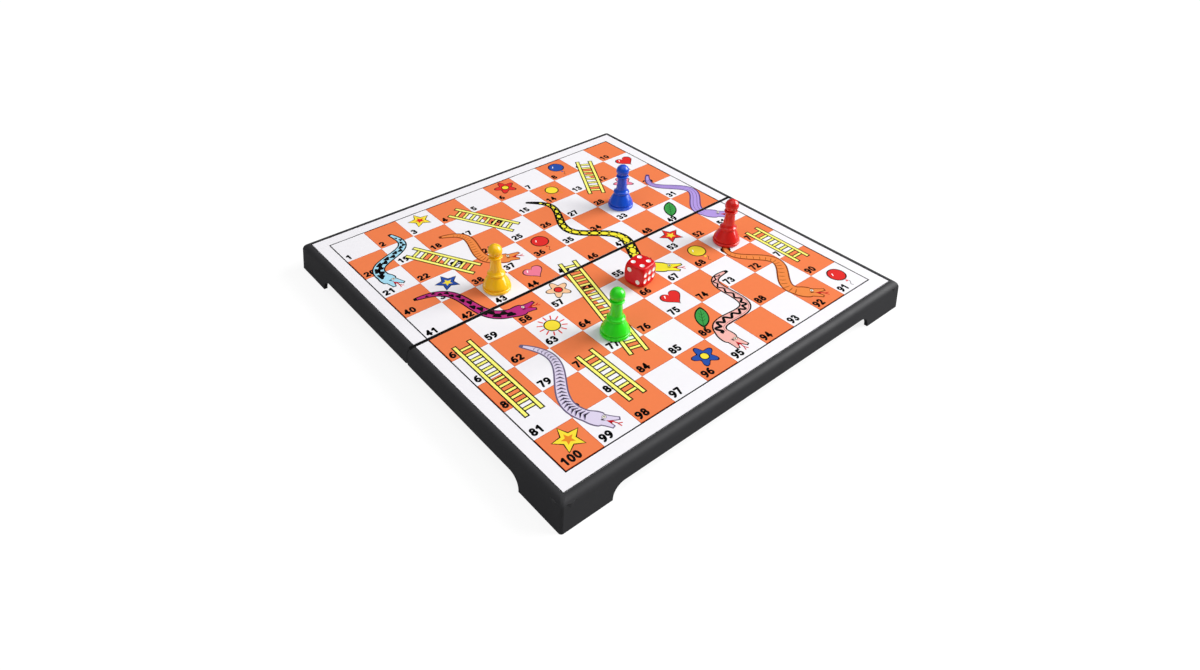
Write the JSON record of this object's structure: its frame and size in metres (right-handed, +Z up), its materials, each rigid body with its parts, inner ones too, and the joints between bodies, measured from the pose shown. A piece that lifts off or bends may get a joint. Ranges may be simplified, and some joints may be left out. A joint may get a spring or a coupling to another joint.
{
  "type": "snakes and ladders board",
  "caption": "Folding magnetic snakes and ladders board: black moulded halves on link hinges, printed sheets over steel, coloured pegs and a red die.",
  "frame": {"origin": "on the floor below the middle of the hinge, bottom centre of the open board's box", "axes": "+X along the hinge, +Y towards the half with squares 1 to 50, +Z up from the floor"},
  "size_m": [0.25, 0.25, 0.0456],
  "materials": {
    "case_plastic": "satin moulded black plastic",
    "link_plastic": "tough satin plastic",
    "steel_sheet": "thin tinned steel",
    "white_print": "white laminated print sheet",
    "orange_ink": "printed under a smooth laminate",
    "yellow_ink": "printed under a smooth laminate",
    "snake_ink": "printed under a smooth laminate",
    "pin_steel": "drawn wire",
    "magnet_metal": "nickel plated magnet",
    "yellow_plastic": "glossy moulded plastic",
    "blue_plastic": "glossy moulded plastic",
    "red_plastic": "glossy moulded plastic",
    "green_plastic": "glossy moulded plastic",
    "die_plastic": "glossy moulded plastic",
    "pip_paint": "white paint"
  },
  "bodies": {
    "far_half": {"far_case": "case_plastic", "far_steel_sheet": "steel_sheet", "far_print_sheet": "white_print", "far_orange_squares": "orange_ink", "far_ladders": "yellow_ink", "far_snakes": "snake_ink", "far_hinge_pins": "pin_steel", "far_closing_magnets": "magnet_metal"},
    "hinge_links": {"hinge_link_left": "link_plastic", "hinge_link_right": "link_plastic"},
    "near_half": {"near_case": "case_plastic", "near_steel_sheet": "steel_sheet", "near_print_sheet": "white_print", "near_orange_squares": "orange_ink", "near_ladders": "yellow_ink", "near_snakes": "snake_ink", "near_hinge_pins": "pin_steel", "near_closing_magnets": "magnet_metal"},
    "yellow_peg": {"yellow_peg": "yellow_plastic", "yellow_peg_magnet": "magnet_metal"},
    "blue_peg": {"blue_peg": "blue_plastic", "blue_peg_magnet": "magnet_metal"},
    "red_peg": {"red_peg": "red_plastic", "red_peg_magnet": "magnet_metal"},
    "green_peg": {"green_peg": "green_plastic", "green_peg_magnet": "magnet_metal"},
    "die": {"die": "die_plastic", "die_pips": "pip_paint"}
  },
  "joints": [
    {"name": "fold_far", "type": "hinge", "parent": "far_half", "child": "hinge_links", "pos_m": [0, 0.0025, 0.0024], "axis": [1, 0, 0], "range_deg": [0, 90]},
    {"name": "fold_near", "type": "hinge", "parent": "hinge_links", "child": "near_half", "pos_m": [0, -0.0025, 0.0024], "axis": [1, 0, 0], "range_deg": [0, 90]},
    {"name": "yellow_peg_lift", "type": "slide", "parent": "far_half", "child": "yellow_peg", "axis": [0, 0, 1], "range_m": [0, 0.04]},
    {"name": "blue_peg_lift", "type": "slide", "parent": "far_half", "child": "blue_peg", "axis": [0, 0, 1], "range_m": [0, 0.04]},
    {"name": "red_peg_lift", "type": "slide", "parent": "near_half", "child": "red_peg", "axis": [0, 0, 1], "range_m": [0, 0.04]},
    {"name": "green_peg_lift", "type": "slide", "parent": "near_half", "child": "green_peg", "axis": [0, 0, 1], "range_m": [0, 0.04]},
    {"name": "die_lift", "type": "slide", "parent": "near_half", "child": "die", "axis": [0, 0, 1], "range_m": [0, 0.03]}
  ],
  "couplings": [
    {"joint": "fold_near", "follows": "fold_far", "ratio": 1}
  ]
}
